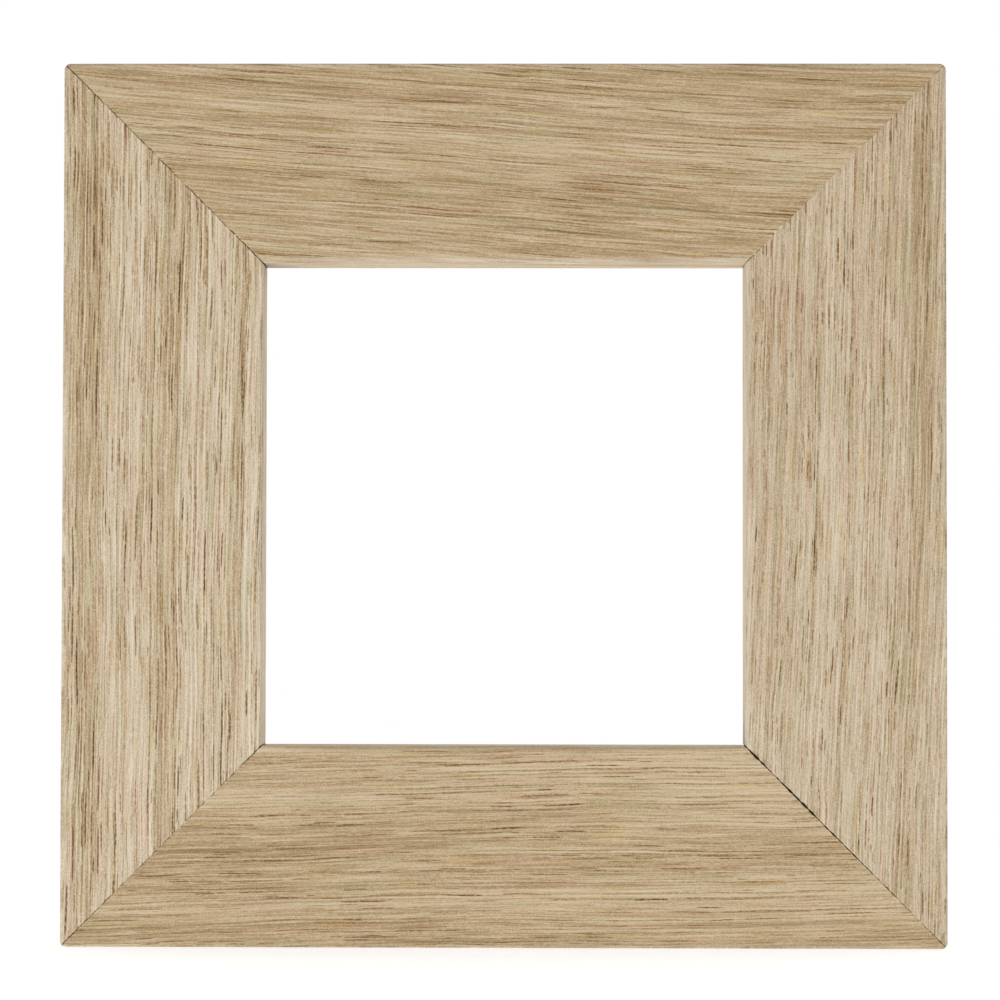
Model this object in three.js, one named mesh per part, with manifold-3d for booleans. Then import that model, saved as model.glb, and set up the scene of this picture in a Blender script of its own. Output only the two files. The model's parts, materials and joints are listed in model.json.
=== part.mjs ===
// A square oak frame that displays one ceramic tile.
// Four mitred rails carry a rebate at the back. The tile is laid into the rebate from behind, and four
// turn buttons hold it there. Steel V-nails draw each mitre together, a sawtooth hanger takes a wall hook,
// and four rubber bumpers keep the metal off the wall.
// Millimetres, +Z up. The front looks along -Y, and the frame stands on its bottom edge at Z = 0.

import * as THREE from "three";
import { mergeVertices } from "three/addons/utils/BufferGeometryUtils.js";
import Module from "manifold-3d";

// The tile that the frame is made for
const TILE_SIDE = 100;
const TILE_THICKNESS = 8.5;
const TILE_EDGE_PLAY = 1;
const TILE_BACK_PLAY = 0.5;
const LIP_COVER = 2; // how far the lip laps over the tile's edge

// Oak rails
const RAIL_WIDTH = 40;
const LIP_THICKNESS = 11;
const FRONT_EDGE_ROUND = 0.8;
const BACK_EDGE_ROUND = 0.5;
const CORNER_ROUND = 1; // the frame's four outer corners, seen from the front
const MITRE_GAP = 0.3;

// V-nails, driven into the back across each mitre
const V_NAIL_LEG = 6.5;
const V_NAIL_HOOK = 1.4;
const V_NAIL_THICKNESS = 0.6;
const V_NAIL_HEIGHT = 10;
const V_NAIL_HALF_ANGLE = THREE.MathUtils.degToRad(52);
const V_NAIL_OUTER_INSET = 18; // from the frame's outer edges to the nail's point
const V_NAIL_SPACING = 12;
const KERF_GAP = 0.2; // free space round a nail in its kerf

// Turn buttons, one on each rail
const BUTTON_THICKNESS = 1;
const BUTTON_HEAD_RADIUS = 5;
const BUTTON_TIP_RADIUS = 3.2;
const BUTTON_REACH = 15; // from the pivot to the end of the finger
const BUTTON_TAB_LENGTH = 4; // the finger's end, bent up for a fingertip
const BUTTON_TAB_RISE = 1.2;
const BUTTON_INSET = 8; // from the rebate's edge to the pivot
const BUTTON_PLAY = 0.1; // above and below the plate
const BUTTON_BORE_PLAY = 0.2;

// The turn buttons' pan-head wood screws
const SCREW_CREST_RADIUS = 1.5;
const SCREW_CORE_RADIUS = 1.05;
const SCREW_PITCH = 1.4;
const SCREW_RIDGE_SHARE = 0.5; // of the pitch, that the thread's ridge takes
const SCREW_LENGTH = 11;
const SCREW_TIP_LENGTH = 2.4;
const SCREW_TIP_RADIUS = 0.15;
const SCREW_HEAD_RADIUS = 3;
const SCREW_HEAD_CROWN_RADIUS = 2;
const SCREW_HEAD_HEIGHT = 1.7;
const SCREW_RECESS_SPAN = 3.2;
const SCREW_RECESS_WIDTH = 0.8;
const SCREW_RECESS_DEPTH = 1;
const PILOT_PLAY = 0.3;

// Sawtooth hanger on the top rail and its two nails
const HANGER_LENGTH = 44;
const HANGER_HEIGHT = 8.5;
const HANGER_THICKNESS = 0.8;
const HANGER_RISE = 1.5; // from the rail to the bridge's underside
const HANGER_FOOT = 6.5;
const HANGER_RAMP = 2;
const HANGER_INSET = 3.5; // from the frame's top edge to the hanger
const TOOTH_COUNT = 11;
const TOOTH_PITCH = 2;
const TOOTH_DEPTH = 1.3;
const HANGER_NAIL_RADIUS = 0.7;
const HANGER_NAIL_LENGTH = 9;
const HANGER_NAIL_POINT = 1.4;
const HANGER_NAIL_HEAD_RADIUS = 1.7;
const HANGER_NAIL_HEAD_HEIGHT = 0.6;
const HANGER_BORE_PLAY = 0.2;

// Rubber bumpers at the back's corners
const BUMPER_RADIUS = 5;
const BUMPER_THICKNESS = 3.5;
const BUMPER_ROUND = 1;
const BUMPER_INSET = 8.5; // from the frame's outer edges to the bumper's centre

const wasm = await Module();
wasm.setup();

// The square openings and the frame's own size follow the tile
const SIGHT_SIDE = TILE_SIDE - 2 * LIP_COVER;
const REBATE_SIDE = TILE_SIDE + 2 * TILE_EDGE_PLAY;
const REBATE_WIDTH = LIP_COVER + TILE_EDGE_PLAY;
const OUTER_SIDE = SIGHT_SIDE + 2 * RAIL_WIDTH;
const HALF_SIDE = OUTER_SIDE / 2;
const REBATE_DEPTH = TILE_THICKNESS + TILE_BACK_PLAY;
const RAIL_DEPTH = LIP_THICKNESS + REBATE_DEPTH;

// Planes across the depth, with the whole part centred on Y = 0
const BACK_Y = (RAIL_DEPTH - BUMPER_THICKNESS) / 2;
const FRONT_Y = BACK_Y - RAIL_DEPTH;

const V_NAIL_INSETS = { outer: V_NAIL_OUTER_INSET, inner: V_NAIL_OUTER_INSET + V_NAIL_SPACING };
const BUTTON_PIVOT = REBATE_SIDE / 2 + BUTTON_INSET; // from the frame's centre
const SCREW_SEAT_Y = BACK_Y + BUTTON_THICKNESS + 2 * BUTTON_PLAY;
const HANGER_NAIL_X = HANGER_LENGTH / 2 - HANGER_FOOT / 2;
const HANGER_Z = HALF_SIDE - HANGER_INSET - HANGER_HEIGHT / 2; // from the frame's centre

// Turns about Y that carry the bottom rail to each side, and the bottom left corner to each corner
const QUARTER = Math.PI / 2;
const EIGHTH = Math.PI / 4;
const SIDES = { bottom: 0, left: QUARTER, top: 2 * QUARTER, right: 3 * QUARTER };
const CORNERS = { bottom_left: 0, top_left: QUARTER, top_right: 2 * QUARTER, bottom_right: 3 * QUARTER };

// How finely curves are cut into flats
const ARC_STEPS = 4; // in the quarter circle of an eased edge
const PLAN_STEPS = 14; // in a turn button's round ends
const ROUND_STEPS = 20; // in a bore or a bumper
const SHANK_STEPS = 14; // round a screw or nail
const HEAD_RINGS = 4;
const SCREW_RINGS_PER_TURN = 4;
const VERTEX_TOLERANCE = 1e-4;
const CUT_MARGIN = 1; // how far a cutting solid runs past what it cuts

const OAK_TONES = { bottom: "#bfa685", left: "#c9b497", top: "#bba380", right: "#c4b092" };

function oak(side) {
  return new THREE.MeshStandardMaterial({ color: OAK_TONES[side], roughness: 0.72, metalness: 0 });
}

function steel() {
  return new THREE.MeshStandardMaterial({ color: "#8d9092", roughness: 0.45, metalness: 1 });
}

function zinc() {
  return new THREE.MeshStandardMaterial({ color: "#b9bcc0", roughness: 0.35, metalness: 1 });
}

function rubber() {
  return new THREE.MeshStandardMaterial({ color: "#2b2927", roughness: 0.85, metalness: 0 });
}

// A closed geometry as a solid that can be cut
function solidFrom(geometry) {
  const bare = geometry.clone();
  bare.deleteAttribute("normal");
  bare.deleteAttribute("uv");
  const merged = mergeVertices(bare, VERTEX_TOLERANCE);
  return new wasm.Manifold(
    new wasm.Mesh({
      numProp: 3,
      vertProperties: new Float32Array(merged.attributes.position.array),
      triVerts: new Uint32Array(merged.index.array),
    }),
  );
}

function geometryFrom(solid) {
  const { numProp, numVert, vertProperties, triVerts } = solid.getMesh();
  const positions = new Float32Array(3 * numVert);
  for (let i = 0; i < numVert; i++) {
    positions.set(vertProperties.subarray(numProp * i, numProp * i + 3), 3 * i);
  }
  const geometry = new THREE.BufferGeometry();
  geometry.setAttribute("position", new THREE.BufferAttribute(positions, 3));
  geometry.setIndex(new THREE.BufferAttribute(new Uint32Array(triVerts), 1));
  const faceted = geometry.toNonIndexed();
  faceted.computeVertexNormals();
  return faceted;
}

// A plan drawn in X and Z, pulled along +Y from the plane y
function pulledAlongY(shape, y, depth, curveSegments = ARC_STEPS) {
  const geometry = new THREE.ExtrudeGeometry(shape, { depth, bevelEnabled: false, curveSegments });
  geometry.rotateX(QUARTER); // the drawing's Y becomes Z, and its depth runs towards -Y
  geometry.translate(0, y + depth, 0);
  return geometry;
}

function cylinderAlongY(radius, y, depth, x = 0, z = 0) {
  const geometry = new THREE.CylinderGeometry(radius, radius, depth, ROUND_STEPS);
  geometry.translate(x, y + depth / 2, z);
  return geometry;
}

// A line of points given a thickness, with mitred bends, as strip metal has
function stripShape(points, thickness) {
  const offsets = points.map((point, i) => {
    const into = i > 0 ? point.clone().sub(points[i - 1]).normalize() : null;
    const out = i < points.length - 1 ? points[i + 1].clone().sub(point).normalize() : null;
    const along = (into ?? out).clone().add(out ?? into).normalize();
    const across = new THREE.Vector2(-along.y, along.x);
    const square = new THREE.Vector2(-(into ?? out).y, (into ?? out).x);
    return across.multiplyScalar(thickness / 2 / across.dot(square));
  });
  const left = points.map((point, i) => point.clone().add(offsets[i]));
  const right = points.map((point, i) => point.clone().sub(offsets[i]));
  return new THREE.Shape([...left, ...right.reverse()]);
}

// The moulding's section: X runs from the outer edge to the inner one, and Y from the front to the back
function railSection() {
  const round = FRONT_EDGE_ROUND;
  const section = new THREE.Shape();
  section.absarc(round, round, round, 2 * QUARTER, 3 * QUARTER, false);
  section.absarc(RAIL_WIDTH - round, round, round, 3 * QUARTER, 4 * QUARTER, false);
  section.lineTo(RAIL_WIDTH, LIP_THICKNESS);
  section.lineTo(RAIL_WIDTH - REBATE_WIDTH, LIP_THICKNESS);
  section.lineTo(RAIL_WIDTH - REBATE_WIDTH, RAIL_DEPTH);
  section.absarc(BACK_EDGE_ROUND, RAIL_DEPTH - BACK_EDGE_ROUND, BACK_EDGE_ROUND, QUARTER, 2 * QUARTER, false);
  section.closePath();
  return section;
}

// The bottom rail before it is drilled, about the frame's centre, with its ends cut at 45 degrees
function mitredRail() {
  const geometry = new THREE.ExtrudeGeometry(railSection(), {
    depth: 1,
    bevelEnabled: false,
    curveSegments: ARC_STEPS,
  });
  const position = geometry.attributes.position;
  const setBack = MITRE_GAP * Math.SQRT1_2;
  for (let i = 0; i < position.count; i++) {
    const fromEdge = position.getX(i);
    const halfLength = HALF_SIDE - fromEdge - setBack;
    const end = position.getZ(i) < 0.5 ? 1 : -1;
    position.setXYZ(i, end * halfLength, FRONT_Y + position.getY(i), fromEdge - HALF_SIDE);
  }
  return solidFrom(geometry);
}

// A square prism through the frame whose rounded corners ease the frame's own
function easedSquare() {
  const centre = HALF_SIDE - CORNER_ROUND;
  const shape = new THREE.Shape();
  shape.absarc(centre, centre, CORNER_ROUND, 0, QUARTER, false);
  shape.absarc(-centre, centre, CORNER_ROUND, QUARTER, 2 * QUARTER, false);
  shape.absarc(-centre, -centre, CORNER_ROUND, 2 * QUARTER, 3 * QUARTER, false);
  shape.absarc(centre, -centre, CORNER_ROUND, 3 * QUARTER, 4 * QUARTER, false);
  shape.closePath();
  return solidFrom(pulledAlongY(shape, FRONT_Y - CUT_MARGIN, RAIL_DEPTH + 2 * CUT_MARGIN));
}

// A V-nail's plan about its point. +X runs out to the frame's corner, so that the legs, which spread that
// way, cut across the grain. Each leg ends in a hook turned back square to it.
function vNailShape(grow) {
  const along = new THREE.Vector2(Math.cos(V_NAIL_HALF_ANGLE), Math.sin(V_NAIL_HALF_ANGLE));
  const back = new THREE.Vector2(-along.y, along.x);
  const leg = along.multiplyScalar(V_NAIL_LEG);
  const hook = back.multiplyScalar(V_NAIL_HOOK + grow).add(leg);
  const mirrored = (point) => new THREE.Vector2(point.x, -point.y);
  const line = [mirrored(hook), mirrored(leg), new THREE.Vector2(0, 0), leg, hook];
  return stripShape(line, V_NAIL_THICKNESS + 2 * grow);
}

// A V-nail, or the kerf that holds it when it is grown, standing at a corner's mitre
function vNailGeometry(inset, grow, turn) {
  const bottom = BACK_Y - V_NAIL_HEIGHT - grow;
  const depth = V_NAIL_HEIGHT + grow + (grow ? CUT_MARGIN : 0);
  const geometry = pulledAlongY(vNailShape(grow), bottom, depth);
  geometry.translate((HALF_SIDE - inset) * Math.SQRT2, 0, 0);
  geometry.rotateY(3 * EIGHTH + turn); // from +X round to the bottom left corner
  return geometry;
}

function railGeometry(side) {
  const eased = mitredRail().intersect(easedSquare());
  const cuts = [];
  for (const inset of Object.values(V_NAIL_INSETS)) {
    cuts.push(vNailGeometry(inset, KERF_GAP, CORNERS.bottom_left));
    cuts.push(vNailGeometry(inset, KERF_GAP, CORNERS.bottom_right));
  }
  const pilotFloor = SCREW_SEAT_Y - SCREW_LENGTH - PILOT_PLAY;
  const pilotRadius = SCREW_CREST_RADIUS + PILOT_PLAY;
  cuts.push(cylinderAlongY(pilotRadius, pilotFloor, BACK_Y + CUT_MARGIN - pilotFloor, 0, -BUTTON_PIVOT));
  if (side === "top") {
    const nailFloor = BACK_Y + HANGER_THICKNESS - HANGER_NAIL_LENGTH - PILOT_PLAY;
    for (const x of [-HANGER_NAIL_X, HANGER_NAIL_X]) {
      const radius = HANGER_NAIL_RADIUS + HANGER_BORE_PLAY;
      cuts.push(cylinderAlongY(radius, nailFloor, BACK_Y + CUT_MARGIN - nailFloor, x, -HANGER_Z));
    }
  }
  return geometryFrom(cuts.reduce((rail, cut) => rail.subtract(solidFrom(cut)), eased));
}

// The finger lies along -X from a pivot at the origin, with the plate's underside at y = 0
function turnButtonGeometry() {
  const tipX = BUTTON_REACH - BUTTON_TIP_RADIUS;
  const flank = Math.acos((BUTTON_HEAD_RADIUS - BUTTON_TIP_RADIUS) / tipX);
  const plan = new THREE.Shape();
  plan.absarc(0, 0, BUTTON_HEAD_RADIUS, flank - Math.PI, Math.PI - flank, false);
  plan.absarc(-tipX, 0, BUTTON_TIP_RADIUS, Math.PI - flank, Math.PI + flank, false);
  plan.closePath();
  const bendX = BUTTON_TAB_LENGTH - BUTTON_REACH;
  const height = BUTTON_THICKNESS + BUTTON_TAB_RISE + CUT_MARGIN;
  const outline = solidFrom(pulledAlongY(plan, -CUT_MARGIN, height + CUT_MARGIN, PLAN_STEPS));

  const side = stripShape(
    [
      new THREE.Vector2(BUTTON_HEAD_RADIUS + CUT_MARGIN, BUTTON_THICKNESS / 2),
      new THREE.Vector2(bendX, BUTTON_THICKNESS / 2),
      new THREE.Vector2(-BUTTON_REACH, BUTTON_THICKNESS / 2 + BUTTON_TAB_RISE),
    ],
    BUTTON_THICKNESS,
  );
  const width = 2 * (BUTTON_HEAD_RADIUS + CUT_MARGIN);
  const sheet = new THREE.ExtrudeGeometry(side, { depth: width, bevelEnabled: false });
  sheet.translate(0, 0, -width / 2);

  const boreRadius = SCREW_CREST_RADIUS + BUTTON_BORE_PLAY;
  const bore = solidFrom(cylinderAlongY(boreRadius, -CUT_MARGIN, height + CUT_MARGIN));
  return geometryFrom(outline.intersect(solidFrom(sheet)).subtract(bore));
}

// One closed body from rings of points about the Y axis: radiusAt gives the surface at a height and angle
function ringBody(heights, radiusAt) {
  const positions = [];
  const index = [];
  for (const y of heights) {
    for (let i = 0; i < SHANK_STEPS; i++) {
      const angle = (2 * Math.PI * i) / SHANK_STEPS;
      const radius = radiusAt(y, angle);
      positions.push(radius * Math.cos(angle), y, radius * Math.sin(angle));
    }
  }
  const low = positions.length / 3;
  const high = low + 1;
  positions.push(0, heights[0], 0, 0, heights[heights.length - 1], 0);
  const lastRing = (heights.length - 1) * SHANK_STEPS;
  for (let i = 0; i < SHANK_STEPS; i++) {
    const next = (i + 1) % SHANK_STEPS;
    for (let ring = 0; ring < lastRing; ring += SHANK_STEPS) {
      const above = ring + SHANK_STEPS;
      index.push(ring + i, above + i, ring + next, above + i, above + next, ring + next);
    }
    index.push(low, i, next, high, lastRing + next, lastRing + i);
  }
  const geometry = new THREE.BufferGeometry();
  geometry.setAttribute("position", new THREE.Float32BufferAttribute(positions, 3));
  geometry.setIndex(index);
  return geometry;
}

// The threaded shank of a wood screw that points to -Y, from its neck down to its tip
function screwShank(neck) {
  const ringStep = SCREW_PITCH / SCREW_RINGS_PER_TURN;
  const threadRings = Math.floor((SCREW_LENGTH - neck) / ringStep);
  const heights = [-SCREW_LENGTH];
  for (let i = threadRings - 1; i >= 0; i--) {
    heights.push(-neck - i * ringStep);
  }
  heights.push(-neck / 2);

  const radiusAt = (y, angle) => {
    const toTip = Math.min(1, (y + SCREW_LENGTH) / SCREW_TIP_LENGTH);
    const core = THREE.MathUtils.lerp(SCREW_TIP_RADIUS, SCREW_CORE_RADIUS, toTip);
    const turns = y / SCREW_PITCH - angle / (2 * Math.PI);
    const fromCrest = Math.abs(turns - Math.floor(turns) - 0.5);
    const ridge = Math.max(0, 1 - (2 * fromCrest) / SCREW_RIDGE_SHARE);
    const fade = Math.max(0, Math.min(toTip, (-neck - y) / SCREW_PITCH));
    return core + (SCREW_CREST_RADIUS - SCREW_CORE_RADIUS) * ridge * fade;
  };
  return solidFrom(ringBody(heights, radiusAt));
}

// A pan-head wood screw that points to -Y, with the underside of its head at y = 0
function screwGeometry() {
  const neck = BUTTON_THICKNESS + 2 * BUTTON_PLAY;
  const collar = cylinderAlongY(SCREW_CREST_RADIUS, -neck, neck + SCREW_HEAD_HEIGHT / 2);

  const headHeights = [];
  for (let i = 0; i <= HEAD_RINGS; i++) {
    headHeights.push((SCREW_HEAD_HEIGHT * i) / HEAD_RINGS);
  }
  const headRadius = (y) => {
    const drop = Math.pow(y / SCREW_HEAD_HEIGHT, 3);
    return THREE.MathUtils.lerp(SCREW_HEAD_RADIUS, SCREW_HEAD_CROWN_RADIUS, drop);
  };
  const head = ringBody(headHeights, headRadius);
  const whole = screwShank(neck).add(solidFrom(collar)).add(solidFrom(head));

  const recessFloor = SCREW_HEAD_HEIGHT - SCREW_RECESS_DEPTH;
  const recessHeight = SCREW_RECESS_DEPTH + CUT_MARGIN;
  const slots = [
    new THREE.BoxGeometry(SCREW_RECESS_SPAN, recessHeight, SCREW_RECESS_WIDTH),
    new THREE.BoxGeometry(SCREW_RECESS_WIDTH, recessHeight, SCREW_RECESS_SPAN),
  ].map((slot) => slot.translate(0, recessFloor + recessHeight / 2, 0));
  return geometryFrom(slots.reduce((screw, slot) => screw.subtract(solidFrom(slot)), whole));
}

// The hanger lies along X about its own centre, with its feet's undersides at y = 0
function hangerGeometry() {
  const footY = HANGER_THICKNESS / 2;
  const bridgeY = footY + HANGER_RISE;
  const footEnd = HANGER_LENGTH / 2 - HANGER_FOOT;
  const bridgeEnd = footEnd - HANGER_RAMP;
  const half = [
    new THREE.Vector2(HANGER_LENGTH / 2, footY),
    new THREE.Vector2(footEnd, footY),
    new THREE.Vector2(bridgeEnd, bridgeY),
  ];
  const otherHalf = half.map((point) => new THREE.Vector2(-point.x, point.y)).reverse();
  const strip = new THREE.ExtrudeGeometry(stripShape([...half, ...otherHalf], HANGER_THICKNESS), {
    depth: HANGER_HEIGHT,
    bevelEnabled: false,
  });
  strip.translate(0, 0, -HANGER_HEIGHT / 2);

  let hanger = solidFrom(strip);
  const firstTooth = (-(TOOTH_COUNT - 1) * TOOTH_PITCH) / 2;
  for (let i = 0; i < TOOTH_COUNT; i++) {
    const x = firstTooth + i * TOOTH_PITCH;
    const edge = -HANGER_HEIGHT / 2;
    const notch = new THREE.Shape([
      new THREE.Vector2(x - TOOTH_PITCH / 2, edge - TOOTH_DEPTH / 2),
      new THREE.Vector2(x + TOOTH_PITCH / 2, edge - TOOTH_DEPTH / 2),
      new THREE.Vector2(x, edge + TOOTH_DEPTH),
    ]);
    hanger = hanger.subtract(solidFrom(pulledAlongY(notch, HANGER_RISE / 2, HANGER_RISE + HANGER_THICKNESS)));
  }
  for (const x of [-HANGER_NAIL_X, HANGER_NAIL_X]) {
    const radius = HANGER_NAIL_RADIUS + HANGER_BORE_PLAY;
    const bore = cylinderAlongY(radius, -CUT_MARGIN, HANGER_THICKNESS + 2 * CUT_MARGIN, x);
    hanger = hanger.subtract(solidFrom(bore));
  }
  return geometryFrom(hanger);
}

// A flat-headed nail that points to -Y, with the underside of its head at y = 0
function hangerNailGeometry() {
  const shoulder = HANGER_NAIL_HEAD_HEIGHT / 2;
  const profile = [
    [0, -HANGER_NAIL_LENGTH],
    [HANGER_NAIL_RADIUS, HANGER_NAIL_POINT - HANGER_NAIL_LENGTH],
    [HANGER_NAIL_RADIUS, 0],
    [HANGER_NAIL_HEAD_RADIUS, 0],
    [HANGER_NAIL_HEAD_RADIUS, shoulder],
    [HANGER_NAIL_HEAD_RADIUS - shoulder, HANGER_NAIL_HEAD_HEIGHT],
    [0, HANGER_NAIL_HEAD_HEIGHT],
  ];
  return new THREE.LatheGeometry(profile.map(([x, y]) => new THREE.Vector2(x, y)), SHANK_STEPS);
}

// A disc that stands out along +Y, with its free edge rounded
function bumperGeometry() {
  const profile = [new THREE.Vector2(0, 0), new THREE.Vector2(BUMPER_RADIUS, 0)];
  for (let i = 0; i <= ARC_STEPS; i++) {
    const angle = (QUARTER * i) / ARC_STEPS;
    profile.push(
      new THREE.Vector2(
        BUMPER_RADIUS - BUMPER_ROUND * (1 - Math.cos(angle)),
        BUMPER_THICKNESS - BUMPER_ROUND * (1 - Math.sin(angle)),
      ),
    );
  }
  profile.push(new THREE.Vector2(0, BUMPER_THICKNESS));
  return new THREE.LatheGeometry(profile, ROUND_STEPS);
}

function piece(name, geometry, material, x = 0, y = 0, z = 0) {
  const mesh = new THREE.Mesh(geometry, material);
  mesh.name = name;
  mesh.position.set(x, y, z);
  return mesh;
}

// One side of the frame: its rail, and the turn button and screw that the rail carries
function frameSide(side) {
  const group = new THREE.Group();
  group.add(piece(`rail_${side}`, railGeometry(side), oak(side)));
  const buttonY = BACK_Y + BUTTON_PLAY;
  group.add(piece(`turn_button_${side}`, turnButtonGeometry(), zinc(), 0, buttonY, -BUTTON_PIVOT));
  group.add(piece(`turn_button_screw_${side}`, screwGeometry(), zinc(), 0, SCREW_SEAT_Y, -BUTTON_PIVOT));
  group.rotation.y = SIDES[side];
  return group;
}

// One corner: the V-nails across its mitre, and its bumper
function frameCorner(corner) {
  const group = new THREE.Group();
  for (const [place, inset] of Object.entries(V_NAIL_INSETS)) {
    group.add(piece(`v_nail_${corner}_${place}`, vNailGeometry(inset, 0, 0), steel()));
  }
  const bumperPlace = BUMPER_INSET - HALF_SIDE;
  group.add(piece(`bumper_${corner}`, bumperGeometry(), rubber(), bumperPlace, BACK_Y, bumperPlace));
  group.rotation.y = CORNERS[corner];
  return group;
}

function hangerSet() {
  const group = new THREE.Group();
  group.add(piece("sawtooth_hanger", hangerGeometry(), zinc()));
  for (const [side, x] of Object.entries({ left: -HANGER_NAIL_X, right: HANGER_NAIL_X })) {
    group.add(piece(`hanger_nail_${side}`, hangerNailGeometry(), zinc(), x, HANGER_THICKNESS, 0));
  }
  group.position.set(0, BACK_Y, HANGER_Z);
  return group;
}

const tileFrame = new THREE.Group();
for (const side of Object.keys(SIDES)) {
  tileFrame.add(frameSide(side));
}
for (const corner of Object.keys(CORNERS)) {
  tileFrame.add(frameCorner(corner));
}
tileFrame.add(hangerSet());
tileFrame.position.z = HALF_SIDE;

export default tileFrame;
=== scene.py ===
import json
import math

import bmesh
import bpy
from mathutils import Matrix, Vector, noise


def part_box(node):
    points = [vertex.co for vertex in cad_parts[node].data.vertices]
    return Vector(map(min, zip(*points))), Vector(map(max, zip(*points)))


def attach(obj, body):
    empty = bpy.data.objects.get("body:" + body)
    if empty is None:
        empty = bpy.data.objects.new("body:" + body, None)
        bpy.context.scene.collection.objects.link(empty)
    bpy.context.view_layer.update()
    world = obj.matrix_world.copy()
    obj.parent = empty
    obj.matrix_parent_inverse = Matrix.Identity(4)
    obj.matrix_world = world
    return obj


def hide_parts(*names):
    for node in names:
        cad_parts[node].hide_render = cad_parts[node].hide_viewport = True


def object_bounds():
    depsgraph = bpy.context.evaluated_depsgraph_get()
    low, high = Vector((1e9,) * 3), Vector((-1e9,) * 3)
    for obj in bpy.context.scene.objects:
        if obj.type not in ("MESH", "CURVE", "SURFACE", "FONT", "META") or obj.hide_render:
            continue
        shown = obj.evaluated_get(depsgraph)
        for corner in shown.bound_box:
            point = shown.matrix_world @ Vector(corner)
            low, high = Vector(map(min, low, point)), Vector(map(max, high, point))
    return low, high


# A square oak frame for one tile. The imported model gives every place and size. The rails, turn buttons,
# screws, hanger, nails and bumpers get finer meshes here, and every surface gets a procedural finish.
# Lengths are named in millimetres, and MM turns them into metres.

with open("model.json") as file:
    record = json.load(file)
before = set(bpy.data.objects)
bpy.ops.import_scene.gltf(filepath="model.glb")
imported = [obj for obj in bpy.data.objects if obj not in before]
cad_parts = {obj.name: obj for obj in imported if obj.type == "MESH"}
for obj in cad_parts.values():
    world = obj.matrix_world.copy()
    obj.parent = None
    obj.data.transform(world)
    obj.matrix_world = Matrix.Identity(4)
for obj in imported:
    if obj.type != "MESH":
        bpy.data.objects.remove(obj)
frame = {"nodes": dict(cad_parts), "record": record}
cad_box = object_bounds()

MM = 0.001

# The camera, fitted to the photograph's outlines
CAMERA_PLACE = (8.64, -777.1, 62.6)
CAMERA_TURN = (91.96, -0.10, 0.70)
CAMERA_LENS = 138.7
SENSOR_WIDTH = 36

# Rails
# The rounding of each rail's two front edges: the frame's outer edge, and the one round the opening
FRONT_ROUNDS = {
    "bottom": (0.6, 1.3),
    "left": (0.9, 0.6),
    "top": (0.5, 1.0),
    "right": (0.6, 1.2),
}
MITRE_ROUND = 0.7  # the front edges' rounding at the rails' ends
BACK_ROUND = 0.5
REBATE_ROUND = 0.35
CORNER_ROUND = 1.3
CORNER_ZONE = 1.2  # the end of a rail's path that bends round the frame's corner
ROUND_STEPS = 8
FRONT_CUTS = 76  # the faces across a rail's front
RAIL_CUTS = 76  # and along it
CORNER_CUTS = 6
EDGE_HOLD = 0.25  # keeps the shading of a rounded edge off the flats
EASING_SPREAD = 0.2  # how much the hand-eased front edges vary, as a share of their rounding
JOINT_HALF_GAP = 0.005
SIDE_GROOVE_DEPTH = 0.2  # at most, away from the rails' front
GROOVE_BREAKS = 1.7  # about how many changes of a groove's width there are in a millimetre
GROOVE_WAVER = 2.2  # how much a groove's width varies, as a share of itself
KERF_GAP = 0.06
DRILL_GAP = 0.3

# Turn buttons
BUTTON_HEAD_RADIUS = 5.0
BUTTON_TIP_RADIUS = 3.2
BUTTON_TAB_LENGTH = 4.0
BUTTON_TAB_RISE = 1.2
BUTTON_THICKNESS = 1.0
BUTTON_BORE_RADIUS = 1.7
BUTTON_BEND = 0.9
STAMPED_EDGE = 0.14

# Screws
SCREW_CREST_RADIUS = 1.5
SCREW_CORE_RADIUS = 1.05
SCREW_PITCH = 1.4
SCREW_RIDGE_SHARE = 0.5
SCREW_TIP_LENGTH = 2.4
SCREW_TIP_RADIUS = 0.15
SCREW_HEAD_HEIGHT = 1.7
SCREW_NECK = 1.2
SCREW_RECESS_SPAN = 3.2
SCREW_RECESS_WIDTH = 0.8
SCREW_RECESS_DEPTH = 1.0
SCREW_RECESS_TURN = 31  # degrees, from the rail's run
SCREW_FILLET = 0.08
SCREW_HEAD_EASE = 0.15
SCREW_DOME_FROM = 0.3

# Hanger and its nails
HANGER_THICKNESS = 0.8
HANGER_FOOT = 6.5
HANGER_RAMP = 2.0
HANGER_BEND = 0.45
HANGER_CORNER = 1.2
TOOTH_COUNT = 11
TOOTH_PITCH = 2.0
TOOTH_DEPTH = 1.3
NAIL_RADIUS = 0.7
NAIL_POINT = 1.4
NAIL_HEAD_HEIGHT = 0.6
NAIL_BORE_RADIUS = 0.9
STRIP_EDGE = 0.1

# Bumpers
BUMPER_ROUND = 1.0
BUMPER_FOOT_EASE = 0.12

SIDES = {"bottom": 0, "left": 90, "top": 180, "right": 270}
CORNERS = ("bottom_left", "top_left", "top_right", "bottom_right")
BODIES = {"bottom": "button_bottom", "left": "button_left", "top": "button_top", "right": "button_right"}

# Each rail's joints, at its two ends as it runs along its own +X
RAIL_JOINTS = {
    "bottom": ("bottom_left", "bottom_right"),
    "left": ("top_left", "bottom_left"),
    "top": ("top_right", "top_left"),
    "right": ("bottom_right", "top_right"),
}

# Each mitre's groove: half its width at the inner corner, how far that opening runs, half its width beyond
# it, its depth, and how dark its glue line is
JOINT_GROOVES = {
    "bottom_left": (0.05, 3.0, 0.006, 0.06, 0.45),
    "top_left": (0.07, 5.0, 0.006, 0.08, 0.6),
    "top_right": (0.05, 3.0, 0.006, 0.06, 0.0),
    "bottom_right": (0.16, 22.0, 0.008, 2.0, 0.4),
}


def box_mm(node):
    return tuple(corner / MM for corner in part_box(node))


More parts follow.
